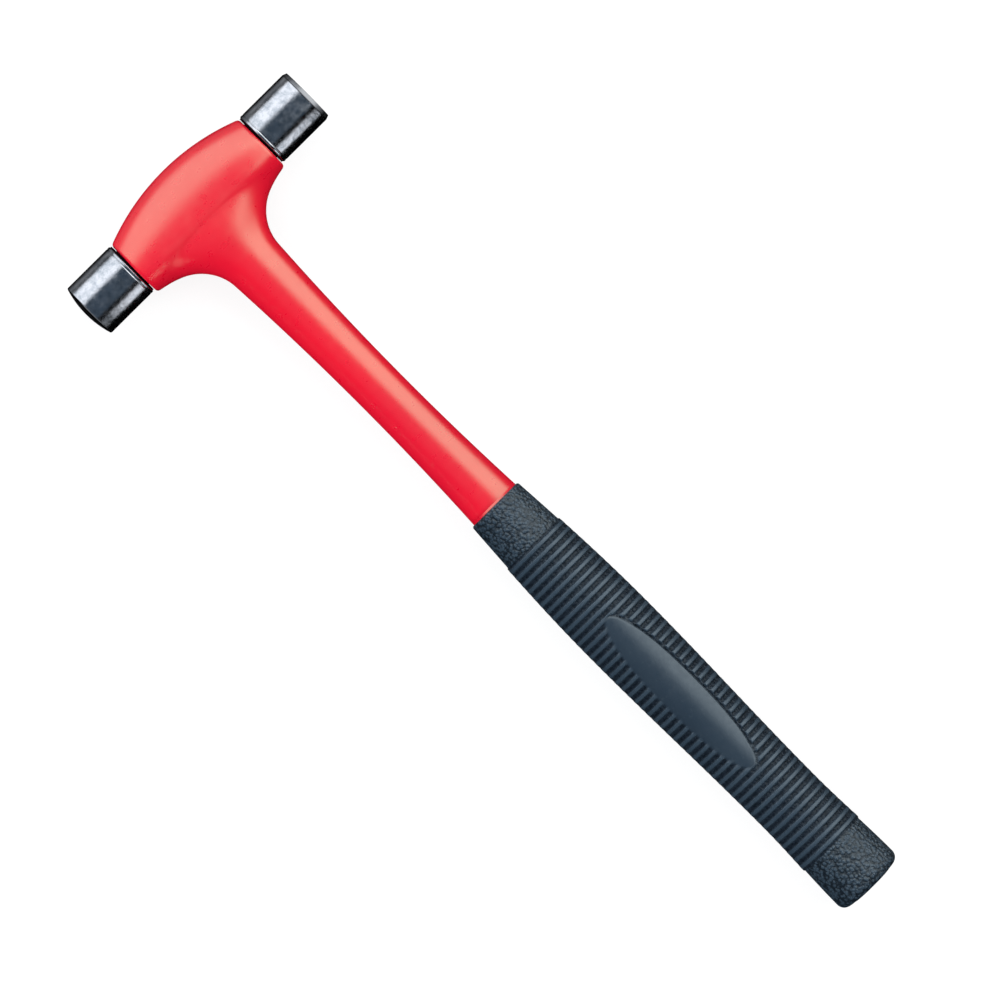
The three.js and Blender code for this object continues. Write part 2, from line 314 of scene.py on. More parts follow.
def shaft_section(below, flare=0.0):
    """Half width and half thickness of the moulded shaft, from inside the head to the tang's end."""
    flared = flare * np.exp(-(below - COVER_END["bottom"]) / FLARE_DECAY)
    plain = shaft_width(below)
    wide = np.minimum(plain + flared, COVER_HALF - COVER_LIP)
    thick = SHAFT_FLATNESS * np.minimum(plain, SHAFT_THICK_UP_TO)
    inside = smoothstep(below, TANG_FROM - TANG_SHOULDER, TANG_FROM + TANG_SHOULDER)
    return wide + (TANG_WIDTH - wide) * inside, thick + (TANG_THICKNESS - thick) * inside


def grip_width(below):
    """Half width of the grip over its rib crests."""
    rise = MOUTH_HALF + (SWELL - MOUTH_HALF) * np.sin(
        math.pi / 2 * np.clip((below - MOUTH) / (SWELL_AT - MOUTH), 0, 1)
    )
    fall = (below - SWELL_AT) / (WAIST_AT - SWELL_AT)
    middle = SWELL + (WAIST - SWELL) * (1 - np.cos(math.pi * np.clip(fall, 0, 1))) / 2
    flare = np.clip((below - WAIST_AT) / (FLARE_AT - WAIST_AT), 0, 1)
    end = WAIST + (BUTT_FLARE - WAIST) * (1 - np.cos(math.pi * flare)) / 2
    return np.where(below < SWELL_AT, rise, np.where(below < WAIST_AT, middle, end))


def grip_thickness(below):
    """Half thickness of the grip over its rib crests, flattest up to its waist."""
    share = np.clip((below - WAIST_AT) / (FLARE_AT - WAIST_AT), 0, 1)
    flatness = COVER_SIDE / BUTT_FLARE
    mix = SWELL_FLATNESS + (flatness - SWELL_FLATNESS) * (1 - np.cos(math.pi * share)) / 2
    return grip_width(below) * mix


# ---------------------------------------------------------------- materials


class Nodes:
    """A material's node tree, with short calls for the nodes that these materials use."""

    def __init__(self, name):
        self.material = bpy.data.materials.new(name)
        self.material.use_nodes = True
        self.tree = self.material.node_tree
        self.shader = self.tree.nodes["Principled BSDF"]
        self.coords = self.tree.nodes.new("ShaderNodeTexCoord").outputs["Object"]

    def link(self, source, target):
        """Joins an output to an input."""
        self.tree.links.new(source, target)

    def node(self, kind, inputs=(), **settings):
        """A new node with its settings, and with values or outputs on its inputs."""
        made = self.tree.nodes.new(kind)
        for key, value in settings.items():
            setattr(made, key, value)
        for key, value in dict(inputs).items():
            if isinstance(value, bpy.types.NodeSocket):
                self.link(value, made.inputs[key])
            else:
                made.inputs[key].default_value = value
        return made

    def noise(self, scale, detail, rough=0.5, coords=None):
        """Noise with that many waves a metre, and finer octaves over them."""
        inputs = {"Vector": coords or self.coords, "Scale": scale, "Detail": detail, "Roughness": rough}
        return self.node("ShaderNodeTexNoise", inputs).outputs["Fac"]

    def cells(self, scale, smoothness, coords):
        """Rounded cells, as in leather: the distance from each one's middle."""
        inputs = {"Vector": coords, "Scale": scale, "Smoothness": smoothness}
        made = self.node("ShaderNodeTexVoronoi", inputs, feature="SMOOTH_F1")
        return made.outputs["Distance"]

    def wander(self, scale, reach):
        """An offset that changes from place to place, up to about that reach."""
        inputs = {"Vector": self.coords, "Scale": scale, "Detail": 2.0}
        colour = self.node("ShaderNodeTexNoise", inputs).outputs["Color"]
        centred = self.node("ShaderNodeVectorMath", {0: colour, 1: (0.5, 0.5, 0.5)}, operation="SUBTRACT")
        scaled = self.node("ShaderNodeVectorMath", {0: centred.outputs["Vector"]}, operation="SCALE")
        scaled.inputs["Scale"].default_value = 2 * reach
        return scaled.outputs["Vector"]

    def stretched(self, scale, turn=(0, 0, 0)):
        """Turned coordinates, with each axis scaled on its own."""
        inputs = {"Vector": self.coords, "Scale": scale, "Rotation": turn}
        return self.node("ShaderNodeMapping", inputs).outputs["Vector"]

    def attribute(self, name):
        """A value that the mesh holds at each point."""
        return self.node("ShaderNodeAttribute", attribute_name=name).outputs["Fac"]

    def spread(self, value, low, high, to_low, to_high):
        """A value from one range mapped to another."""
        inputs = {"Value": value, "From Min": low, "From Max": high, "To Min": to_low, "To Max": to_high}
        return self.node("ShaderNodeMapRange", inputs).outputs["Result"]

    def math(self, operation, first, second=0.0):
        """One sum on values or outputs."""
        made = self.node("ShaderNodeMath", {0: first, 1: second}, operation=operation)
        return made.outputs["Value"]

    def between(self, share, first, second):
        """A colour between two others."""
        made = self.node("ShaderNodeMix", data_type="RGBA")
        self.link(share, made.inputs["Factor"])
        for key, value in ((6, first), (7, second)):
            if isinstance(value, bpy.types.NodeSocket):
                self.link(value, made.inputs[key])
            else:
                made.inputs[key].default_value = (*value, 1)
        return made.outputs[2]

    def bump(self, height, strength, distance, normal=None):
        """A normal bent by a height, over another normal if one is given."""
        inputs = {"Height": height, "Strength": strength, "Distance": distance}
        if normal is not None:
            inputs["Normal"] = normal
        return self.node("ShaderNodeBump", inputs).outputs["Normal"]

    def finish(self, **inputs):
        """Sets or links the shader's own inputs and returns the material."""
        for key, value in inputs.items():
            socket = self.shader.inputs[key.replace("_", " ")]
            if isinstance(value, bpy.types.NodeSocket):
                self.link(value, socket)
            else:
                socket.default_value = value
        return self.material


def urethane_material():
    """Satin moulded urethane: colour drift, specks, an orange-peel skin, scuffs, a seam and a bead."""
    red, cool_red, speck_red = (0.74, 0.0075, 0.028), (0.70, 0.0070, 0.029), (0.52, 0.008, 0.025)
    red_gloss = (0.5, 1.0, 0.72, 1)
    skin_depth, seam_depth, bead_depth = 0.12 * MM, 0.15 * MM, 0.5 * MM
    seam_half, seam_edge, bead_length = 0.12 * MM, 0.32 * MM, 0.8 * MM
    n = Nodes("urethane")
    drift = n.spread(n.noise(28, 2), 0.35, 0.65, 0, 1)
    colour = n.between(drift, red, cool_red)
    specks = n.spread(n.noise(800, 2), 0.3, 0.7, 0, 0.06)
    colour = n.between(specks, colour, speck_red)
    slanted = n.stretched((1, 6, 1), (0, 0, 0.7))
    scuffs = n.spread(n.noise(90, 3, coords=slanted), 0.5, 0.8, 0, 0.06)
    rough = n.math("ADD", n.spread(n.noise(240, 4), 0.3, 0.7, 0.26, 0.33), scuffs)
    skin = n.bump(n.noise(400, 0), 0.12, skin_depth)
    axes = n.node("ShaderNodeSeparateXYZ", {"Vector": n.coords}).outputs
    off_seam = n.math("ABSOLUTE", n.math("SUBTRACT", axes["Z"], AXIS_Z))
    seam = n.spread(off_seam, seam_half, seam_edge, 1, 0)
    seamed = n.bump(seam, 0.6, seam_depth, skin)
    mouth = AXIS_Y - MOUTH
    bead = n.spread(axes["Y"], mouth, mouth + bead_length, 1, 0)
    normal = n.bump(bead, 0.8, bead_depth, seamed)
    n.finish(Base_Color=colour, Roughness=rough, Normal=normal)
    return n.finish(Specular_IOR_Level=0.85, IOR=1.7, Specular_Tint=red_gloss)


def rubber_material():
    """Blue-black rubber: pebbled where the grip is plain or grooved, smoother on crests and panel, with
    painted shade in the grooves, the moat and the pebble valleys.
    """
    black_blue, worn_blue, dusty = (0.024, 0.041, 0.061), (0.031, 0.050, 0.071), (0.045, 0.064, 0.080)
    shaded_groove_blue, panel_blue = (0.014, 0.022, 0.034), (0.012, 0.020, 0.032)
    painted_shade_black = (0.002, 0.004, 0.007)
    blue_gloss = (0.78, 0.92, 1.0, 1)
    pebble_bend, pebble_depth, grain_depth = 0.5 * MM, 0.7 * MM, 0.08 * MM
    n = Nodes("grip_rubber")
    pebble = n.attribute("pebble")
    groove = n.attribute("groove")
    panel = n.attribute("panel")
    bent = n.node("ShaderNodeVectorMath", {0: n.coords, 1: n.wander(700, pebble_bend)}, operation="ADD")
    leather = n.cells(800, 0.25, bent.outputs["Vector"])
    # Painted shade: the sunken valleys between the pebbles are painted darker.
    shaded_valley = n.math("MULTIPLY", n.spread(leather, 0.35, 0.62, 0, 1), pebble)
    drift = n.spread(n.noise(60, 3), 0.3, 0.7, 0, 1)
    colour = n.between(drift, black_blue, worn_blue)
    # Painted shade: the grooves and the moat are painted darker, by the groove attribute.
    colour = n.between(groove, colour, shaded_groove_blue)
    colour = n.between(n.math("MULTIPLY", panel, 0.6), colour, panel_blue)
    dust = n.spread(n.noise(900, 3), 0.58, 0.75, 0, 0.35)
    colour = n.between(dust, colour, dusty)
    # Painted shade, near black, in the pebble valleys and in the rib grooves.
    painted_shade = n.math("MAXIMUM", n.math("MULTIPLY", shaded_valley, 0.85), n.math("MULTIPLY", groove, 0.4))
    colour = n.between(painted_shade, colour, painted_shade_black)
    rough = n.spread(n.noise(500, 3), 0.3, 0.7, 0.44, 0.58)
    rough = n.math("SUBTRACT", rough, n.math("MULTIPLY", panel, 0.12))
    shine = n.math("SUBTRACT", 0.8, n.math("MULTIPLY", groove, 0.5))
    grain = n.bump(n.noise(3200, 2), 0.12, grain_depth)
    sunk = n.math("MULTIPLY", n.math("MULTIPLY", leather, -1.0), pebble)
    normal = n.bump(sunk, 0.9, pebble_depth, grain)
    n.finish(Base_Color=colour, Roughness=rough, Normal=normal)
    return n.finish(Specular_IOR_Level=shine, Specular_Tint=blue_gloss)


def face_material():
    """Polished steel: turning marks, smudges, scratches, a ground rim, a painted shade line at the rim
    and painted shade by the seam.
    """
    bright, smudged, ground = (0.46, 0.48, 0.51), (0.27, 0.30, 0.33), (0.20, 0.21, 0.225)
    seam_shade_black, rim_shade_black = (0.006, 0.006, 0.008), (0.03, 0.03, 0.035)
    turned_depth, dent_depth, scratch_depth = 0.03 * MM, 0.22 * MM, 0.04 * MM
    seam_shade_from, seam_shade_to = FACE_START + 0.10 * MM, FACE_START + 0.25 * MM
    rim_at, rim_soft = HEAD_HALF - CHAMFER_AXIAL, 0.05 * MM
    rim_shade_half, rim_shade_edge = 0.10 * MM, 0.30 * MM
    n = Nodes("face_steel")
    smudge = n.spread(n.noise(260, 5, 0.7), 0.42, 0.64, 0, 1)
    colour = n.between(smudge, bright, smudged)
    off_middle = n.math("ABSOLUTE", n.node("ShaderNodeSeparateXYZ", {"Vector": n.coords}).outputs["X"])
    # Painted shade: the steel right next to the seam with the cover is painted near black, and made
    # rougher there.
    seam_shade = n.spread(off_middle, seam_shade_from, seam_shade_to, 1, 0)
    colour = n.between(seam_shade, colour, seam_shade_black)
    rim = n.spread(off_middle, rim_at - rim_soft, rim_at, 0, 1)
    colour = n.between(rim, colour, ground)
    # Painted shade: a thin near-black line painted round the face where the chamfer starts.
    off_rim = n.math("ABSOLUTE", n.math("SUBTRACT", off_middle, rim_at))
    rim_shade = n.spread(off_rim, rim_shade_half, rim_shade_edge, 0.8, 0)
    colour = n.between(rim_shade, colour, rim_shade_black)
    rough = n.spread(n.noise(380, 4, 0.6), 0.3, 0.75, 0.12, 0.26)
    rough = n.math("ADD", rough, n.math("MULTIPLY", seam_shade, 0.6))
    rough = n.math("ADD", rough, n.math("MULTIPLY", rim, 0.12))
    marks = n.noise(1.0, 2, coords=n.stretched((5200, 60, 60)))
    turned = n.bump(marks, 0.05, turned_depth)
    dents = n.bump(n.noise(420, 4, 0.6), 0.26, dent_depth, turned)
    scratch = n.noise(1.0, 2, coords=n.stretched((90, 2400, 2400), (0.3, 0.2, 0.4)))
    fine = n.spread(scratch, 0.66, 0.74, 0, 1)
    normal = n.bump(fine, 0.14, scratch_depth, dents)
    return n.finish(Base_Color=colour, Roughness=rough, Normal=normal, Metallic=1.0)


def plain_steel_material(name, tone, scale):
    """Unpolished steel for what the head and the handle hold: mill marks and dull patches."""
    bright, dull = (tone, tone, tone * 1.03), (tone * 0.75, tone * 0.74, tone * 0.74)
    mill_depth = 0.05 * MM
    n = Nodes(name)
    patches = n.spread(n.noise(scale, 4, 0.6), 0.3, 0.7, 0, 1)
    colour = n.between(patches, bright, dull)
    rough = n.spread(n.noise(scale * 3, 3), 0.3, 0.7, 0.30, 0.48)
    normal = n.bump(n.noise(scale * 8, 3), 0.15, mill_depth)
    return n.finish(Base_Color=colour, Roughness=rough, Normal=normal, Metallic=1.0)


# ---------------------------------------------------------------- moulded cover

# The skin is remeshed, smoothed and settled twice: each voxel size with its rounds of settling.
SKIN_PASSES = ((0.9 * MM, 10), (0.5 * MM, 4))
SMOOTH_SHARE, SMOOTH_ROUNDS = 0.5, 5
SECTION_STEP = 0.02 * MM
GRADIENT_STEP = 0.01 * MM
LONGEST_MOVE = 0.6 * MM
FLATTEST = 0.05
TINY = 1e-9


def head_distance(x, y, z):
    """Signed distance, close to the surface, from the moulded head with its rounded end edges."""
    side = cover_side(x)
    y = y + RIDGE_BELOW
    high = cover_height(x, y)
    share = np.sqrt((y / high) ** 2 + (z / side) ** 2) + TINY
    slope = np.sqrt(y**2 / high**4 + z**2 / side**4) / share + TINY
    out = (share - 1) / slope + COVER_LIP
    past = np.abs(x) - COVER_HALF + COVER_LIP
    corner = np.hypot(np.maximum(out, 0), np.maximum(past, 0))
    return np.minimum(np.maximum(out, past), 0) + corner - COVER_LIP


def shaft_distance(x, y, z):
    """Signed distance, close to the surface, from the moulded shaft without its flare."""
    below = -y
    wide, thick = shaft_section(below)
    wider, thicker = shaft_section(below + SECTION_STEP)
    share = np.sqrt((x / wide) ** 2 + (z / thick) ** 2) + TINY
    along = (x**2 / wide**3 * (wider - wide) + z**2 / thick**3 * (thicker - thick)) / SECTION_STEP
    slope = np.sqrt(x**2 / wide**4 + z**2 / thick**4 + along**2) / share + TINY
    return np.maximum((share - 1) / slope, np.maximum(below - TANG_END, SHAFT_START - below))


def upright(up, across):
    """How far a normal with those two parts points up or down, from 0 to 1."""
    return np.abs(up) / (np.hypot(up, across) + TINY)


def cover_distance(points):
    """Head and shaft with a rounded saddle between them, its radius growing from the sides to the front.

    Where the surfaces meet at a slant the blend reaches less far from the line where they cross.
    """
    x, y, z = points[:, 0], points[:, 1], points[:, 2]
    head = head_distance(x, y, z)
    shaft = shaft_distance(x, y, z)
    off_ridge = y + RIDGE_BELOW
    wide, thick = shaft_section(-y)
    head_up = upright(z / cover_side(x) ** 2, off_ridge / cover_height(x, off_ridge) ** 2)
    shaft_up = upright(z / thick**2, x / wide**2)
    facing = head_up * shaft_up
    slant = np.sqrt(2 / (1 + facing)) - 1
    saddle = SADDLE_SIDE + (SADDLE_FRONT - SADDLE_SIDE) * facing
    radius = saddle * slant / (math.sqrt(2) - 1) + LEAST_BLEND
    inner = np.hypot(np.maximum(radius - head, 0), np.maximum(radius - shaft, 0))
    return np.maximum(radius, np.minimum(head, shaft)) - inner


def settle(points, distance, rounds):
    """Moves points along the distance's gradient until they lie on its surface."""
    for _ in range(rounds):
        value = distance(points)
        gradient = np.empty_like(points)
        for k in range(3):
            ahead, back = points.copy(), points.copy()
            ahead[:, k] += GRADIENT_STEP
            back[:, k] -= GRADIENT_STEP
            gradient[:, k] = (distance(ahead) - distance(back)) / (2 * GRADIENT_STEP)
        size = np.maximum((gradient**2).sum(1), FLATTEST)
        move = -(value / size)[:, None] * gradient
        far = np.linalg.norm(move, axis=1)
        points = points + move * np.minimum(1, LONGEST_MOVE / np.maximum(far, TINY))[:, None]
    return points


def oval(below, wide, thick, angles):
    """A ring of points across the handle."""
    return np.stack(
        [wide * np.cos(angles), np.full(len(angles), -below), thick * np.sin(angles)], 1
    )


def head_skin(angles):
    """The moulded head as rings from one end to the other."""
    rings = []
    for x in np.linspace(-COVER_HALF, COVER_HALF, 41):
        high = cover_height(x, np.sin(angles)) * np.sin(angles) - RIDGE_BELOW
        ring = [np.full(len(angles), x), high, cover_side(x) * np.cos(angles)]
        rings.append(np.stack(ring, 1))
    return loft("urethane_cover_skin", rings)


def shaft_skin(angles):
    """The moulded shaft and its tang as rings, closer together where it flares."""
    flared = np.linspace(SHAFT_START, 40 * MM, 36)
    plain = np.linspace(42 * MM, TANG_END, 90)
    rings = [oval(below, *shaft_section(below, FLARE), angles) for below in (*flared, *plain)]
    return loft("shaft_skin", rings)


def make_cover():
    """A voxel skin over the head and the shaft, settled onto their blended surface, then hollowed."""
    angles = np.linspace(0, 2 * math.pi, 96, endpoint=False)
    cover = head_skin(angles)
    shaft = shaft_skin(angles)
    work = bmesh.new()
    work.from_mesh(cover.data)
    work.from_mesh(shaft.data)
    work.to_mesh(cover.data)
    work.free()
    bpy.data.objects.remove(shaft)
    for voxel, rounds in SKIN_PASSES:
        remesh = cover.modifiers.new("remesh", "REMESH")
        remesh.mode = "VOXEL"
        remesh.voxel_size = voxel
        even = cover.modifiers.new("even", "SMOOTH")
        even.factor = SMOOTH_SHARE
        even.iterations = SMOOTH_ROUNDS
        apply_modifiers(cover)
        set_vertices(cover.data, settle(vertices_of(cover.data), cover_distance, rounds))
    pocket = TUBE_HALF + GAP
    seat = COVER_HALF + 2 * MM
    tools = [
        bar("pocket", TUBE_RADIUS + GAP, (-pocket, 0, 0), (pocket, 0, 0), 96),
        bar("neck", SPIGOT_RADIUS + GAP, (-seat, 0, 0), (seat, 0, 0), 96),
        bar("socket_pocket", SOCKET_RADIUS + GAP, (0, -SOCKET_END - GAP, 0), (0, 0, 0), 64),
        bar("rod_bore", ROD_RADIUS + GAP, (0, -ROD_END - GAP, 0), (0, 0, 0), 48),
    ]
    return cut(cover, tools)


# ---------------------------------------------------------------- grip

# Ribs run across the grip and fade towards its sides. A dished panel lies between them, with a soft
# edge on its left and a sharp one with a moat inside it on its right.
RIB_FROM = 170 * MM
RIB_TO = 320 * MM
RIB_COUNT = 47
RIB_DEPTH = 0.6 * MM
BAND_DEPTH = 0.45 * MM
PANEL_DEPTH = 0.35 * MM
MOAT_DEPTH = 0.8 * MM
MOAT_WIDTH = 0.7 * MM
MOAT_INSET = 0.55 * MM
RIB_PITCH = (RIB_TO - RIB_FROM) / RIB_COUNT
RIB_FLANK = (-0.45, 0.35)
RIB_END = 0.4 * MM
SIDE_FADE = (0.86, 1.0)
SIDE_FADE_SHARE = 0.9
PANEL_RIGHT = (-2 * MM, 4 * MM)
PANEL_SLOPE_LEFT, PANEL_SLOPE_RIGHT = 1.5 * MM, 0.35 * MM
PANEL_OVER = 0.15 * MM
# The share of painted shade that the moat gets, and of pebbling that the grooves get.
MARK_SHARE = 0.8


def panel_edge(x, below):
    """Distance outside the panel's rounded outline, negative inside it."""
    u = np.abs(below - PANEL["centre"]) / PANEL["length"]
    v = np.abs(x) / PANEL["width"]
    power = PANEL["power"]
    share = (u**power + v**power) ** (1 / power) + TINY
    du = (u / share) ** (power - 1) / PANEL["length"]
    dv = (v / share) ** (power - 1) / PANEL["width"]
    return (share - 1) / np.sqrt(du**2 + dv**2 + TINY)


def grip_relief(x, below):
    """Depth below the crests, how much painted shade a point gets in the grooves and the moat, and how
    much of it is plain band and panel.
    """
    wave = np.cos(2 * math.pi * (below - RIB_FROM) / RIB_PITCH + math.pi)
    groove = 1 - smoothstep(wave, *RIB_FLANK)
    started = smoothstep(below, RIB_FROM - RIB_END, RIB_FROM)
    ribbed = started * (1 - smoothstep(below, RIB_TO, RIB_TO + RIB_END))
    to_side = np.abs(x) / grip_width(below)
    shallow = 1 - SIDE_FADE_SHARE * smoothstep(to_side, *SIDE_FADE)
    edge = panel_edge(x, below)
    right = smoothstep(x, *PANEL_RIGHT)
    slope = PANEL_SLOPE_LEFT - (PANEL_SLOPE_LEFT - PANEL_SLOPE_RIGHT) * right
    inside = 1 - smoothstep(edge, -slope, PANEL_OVER)
    moat = np.exp(-(((edge + MOAT_INSET) / (0.5 * MOAT_WIDTH)) ** 2)) * inside * right
    depth = ribbed * groove * RIB_DEPTH * shallow + (1 - ribbed) * BAND_DEPTH
    depth = depth * (1 - inside) + PANEL_DEPTH * inside + MOAT_DEPTH * moat
    # Painted shade: the grooves between the ribs and the moat by the panel are painted darker.
    painted_shade = groove * ribbed * (1 - inside) + MARK_SHARE * moat
    return depth, painted_shade, (1 - ribbed) * (1 - inside), inside


def grip_angles():
    """Angles round the grip, closer together where the panel's edges run."""
    fine, coarse = 0.28 * MM, 0.62 * MM
    edge_from, edge_to = 5.2 * MM, 9.2 * MM
    angle, angles = 0.0, []
    while angle < math.pi / 2:
        angles.append(angle)
        x = SWELL * math.cos(angle)
        step = fine if edge_from < x < edge_to else coarse
        angle += step / (SWELL * math.hypot(math.sin(angle), SWELL_FLATNESS * math.cos(angle)))
    quarter = np.array(angles) * (math.pi / 2) / angle
    half = np.concatenate([quarter, [math.pi / 2], math.pi - quarter[:0:-1]])
    return np.concatenate([half, half + math.pi])


def grip_stations():
    """Distances below the head's axis, closest together over the ribs."""
    steps = 9
    ribs = np.arange(RIB_COUNT * steps + 1) * RIB_PITCH / steps + RIB_FROM
    lip = [MOUTH + LIP * (1 - math.cos(a)) for a in np.linspace(0.25, math.pi / 2, 5)]
    band = np.linspace(MOUTH + LIP, RIB_FROM - RIB_END, 26)[1:]
    end = np.linspace(RIB_TO + RIB_END, BUTT - BUTT_CORNER, 24)
    return np.concatenate([lip, band, ribs, end])


def make_grip():
    """One closed skin: the ribbed outside from the butt to the mouth, then the bore back to its end."""
    angles = grip_angles()
    rings, marks = [], []

    def outer(below, less):
        """Adds a ring of the ribbed outside, set back by that much more."""
        wide, thick = float(grip_width(below)), float(grip_thickness(below))
        base = oval(below, wide, thick, angles)
        # The second value is the painted shade of the grooves and the moat, kept in the groove attribute.
        depth, groove, band, inside = grip_relief(base[:, 0], np.full(len(angles), below))
        normal = np.stack([np.cos(angles) / wide, np.zeros(len(angles)), np.sin(angles) / thick], 1)
        normal /= np.linalg.norm(normal, axis=1)[:, None]
        rings.append(base - normal * (depth + less)[:, None])
        pebble = np.clip(band + MARK_SHARE * groove, 0, 1)
        marks.append(np.stack([pebble, groove, inside], 1))

    all_pebble = [1.0, 0.0, 0.0]
    flat_thick = BUTT_FLAT * COVER_SIDE / BUTT_FLARE
    for share in (0.35, 0.7, 1.0):
        rings.append(oval(BUTT, BUTT_FLAT * share, flat_thick * share, angles))
        marks.append(np.tile(all_pebble, (len(angles), 1)))
    for angle in np.linspace(math.pi / 2, 0.15, 10):
        below = BUTT - BUTT_CROWN - BUTT_CORNER * (1 - math.sin(angle))
        outer(below, BUTT_CORNER * (1 - math.cos(angle)))
    for below in grip_stations()[::-1]:
        rise = max(0.0, 1 - (below - MOUTH) / LIP)
        outer(below, LIP * (1 - math.sqrt(max(0.0, 1 - rise**2))))
    shaft_half = float(shaft_width(TANG_FROM))
    bore = [
        (MOUTH, shaft_half, SHAFT_FLATNESS * shaft_half),
        (TANG_FROM + GAP, shaft_half, SHAFT_FLATNESS * shaft_half),
        (TANG_FROM + 2 * GAP, TANG_WIDTH, TANG_THICKNESS),
        (TANG_END + GAP, TANG_WIDTH, TANG_THICKNESS),
    ]
    for below, wide, thick in bore:
        rings.append(oval(below, wide + GAP, thick + GAP, angles))
        marks.append(np.zeros((len(angles), 3)))
    grip = loft("rubber_grip_ribbed", rings)
    values = np.vstack([*marks, [all_pebble], [[0.0, 0.0, 0.0]]])
    # The groove attribute holds the painted shade of the grooves and the moat.
    for k, name in enumerate(("pebble", "groove", "panel")):
        attribute = grip.data.attributes.new(name, "FLOAT", "POINT")
        attribute.data.foreach_set("value", values[:, k].astype(np.float32))
    return grip


# ---------------------------------------------------------------- steel faces


def face_root():
    """Corners from the spigot to the groove by the seam, as (radius, distance from the middle)."""
    groove_at = FACE_START + TURNED_GROOVE["at"]
    return [
        (0, SPIGOT_END),
        (SPIGOT_RADIUS - SPIGOT_CHAMFER, SPIGOT_END),
        (SPIGOT_RADIUS, SPIGOT_END + SPIGOT_CHAMFER),
        (SPIGOT_RADIUS, COVER_HALF + GAP),
        (FACE_RADIUS - NECK_DEPTH, COVER_HALF + GAP),
        (FACE_RADIUS - NECK_DEPTH, FACE_START),
        (FACE_RADIUS - SHOULDER, FACE_START),
        (FACE_RADIUS, FACE_START + SHOULDER),
        (FACE_RADIUS, groove_at - TURNED_GROOVE["half"]),
        (FACE_RADIUS - TURNED_GROOVE["depth"], groove_at),
        (FACE_RADIUS, groove_at + TURNED_GROOVE["half"]),
    ]


def make_flat_face():
    """The face with the flat chamfered end."""
    corners = face_root() + [
        (FACE_RADIUS, HEAD_HALF - CHAMFER_AXIAL),
        (FACE_RADIUS - CHAMFER_RADIAL, HEAD_HALF),
        (0, HEAD_HALF),
    ]
    return drilled(lathe("flat_face_turned", rounded(corners, EDGE), 160), PIN_X)


def make_crowned_face():
    """The face with the crowned end, turned round to the other end of the head."""
    rim = FACE_RADIUS - CROWN_RIM
    radius = (rim**2 + CROWN**2) / (2 * CROWN)
    shoulder = [(FACE_RADIUS, HEAD_HALF - CROWN - CROWN_RIM), (rim, HEAD_HALF - CROWN)]
    corners = rounded(face_root() + shoulder, EDGE)
    for share in np.linspace(0.02, 1, 24):
        r = rim * (1 - share)
        corners.append((r, HEAD_HALF - radius + math.sqrt(radius**2 - r**2)))
    face = lathe("crowned_face_turned", corners, 160)
    face.data.transform(Matrix.Rotation(math.pi, 4, "Z"))
    return drilled(face, -PIN_X)


def drilled(face, x):
    """The face with the hole for the pin that holds it."""
    hole = bar("hole", PIN_RADIUS + GAP, (x, 0, -FACE_RADIUS), (x, 0, FACE_RADIUS), 48)
    return cut(face, [hole])


# ---------------------------------------------------------------- steel inside


def make_tube():
    """The canister's tube, open at both ends, with its cross holes."""
    bevel = 0.3 * MM
    tube = bar("canister_tube_turned", TUBE_RADIUS, (-TUBE_HALF, 0, 0), (TUBE_HALF, 0, 0), 128, bevel)
    reach = TUBE_HALF + MM
    tools = [bar("bore", TUBE_BORE, (-reach, 0, 0), (reach, 0, 0), 128)]
    for x in (-PIN_X, PIN_X):
        top = TUBE_RADIUS + MM
        tools.append(bar("hole", PIN_RADIUS + GAP, (x, 0, -top), (x, 0, top), 48))
    return cut(tube, tools)


def make_socket():
    """The boss under the canister, hollowed to sit on the tube and to take the rod."""
    socket = bar("rod_socket_turned", SOCKET_RADIUS, (0, -SOCKET_END, 0), (0, 0, 0), 96, 0.4 * MM)
    side = SOCKET_RADIUS + MM
    tools = [
        bar("seat", TUBE_RADIUS + GAP, (-side, 0, 0), (side, 0, 0), 128),
        bar("bore", ROD_RADIUS + GAP, (0, -SOCKET_END - MM, 0), (0, -ROD_TOP + GAP, 0), 64),
        bar("hole", PIN_RADIUS + GAP, (0, -ROD_PIN_BELOW, -side), (0, -ROD_PIN_BELOW, side), 48),
    ]
    return cut(socket, tools)


def make_rod():
    """The rod that runs down the handle, drilled for its pin."""
    rod = bar("core_rod_turned", ROD_RADIUS, (0, -ROD_END, 0), (0, -ROD_TOP, 0), 64, 0.5 * MM)
    side = SOCKET_RADIUS
    hole = bar("hole", PIN_RADIUS + GAP, (0, -ROD_PIN_BELOW, -side), (0, -ROD_PIN_BELOW, side), 48)
    return cut(rod, [hole])


def make_pin(name, centre, half):
    """A chamfered cross pin."""
    start = Vector(centre) - Vector((0, 0, half))
    end = Vector(centre) + Vector((0, 0, half))
    return bar(name, PIN_RADIUS, start, end, 48, 0.3 * MM)


def make_ball(node):
    """A round ball where the CAD model has a faceted one."""
    low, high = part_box(node)
    radius = (high.y - low.y) / 2
    work = bmesh.new()
    bmesh.ops.create_icosphere(work, subdivisions=3, radius=radius)
    mesh = bpy.data.meshes.new(node + "_ball")
    work.to_mesh(mesh)
    work.free()
    mesh.shade_smooth()
    ball = bpy.data.objects.new(node + "_ball", mesh)
    bpy.context.scene.collection.objects.link(ball)
    mesh.transform(Matrix.Translation((low + high) / 2 - ORIGIN))
    return ball


# ---------------------------------------------------------------- stage, lights and camera


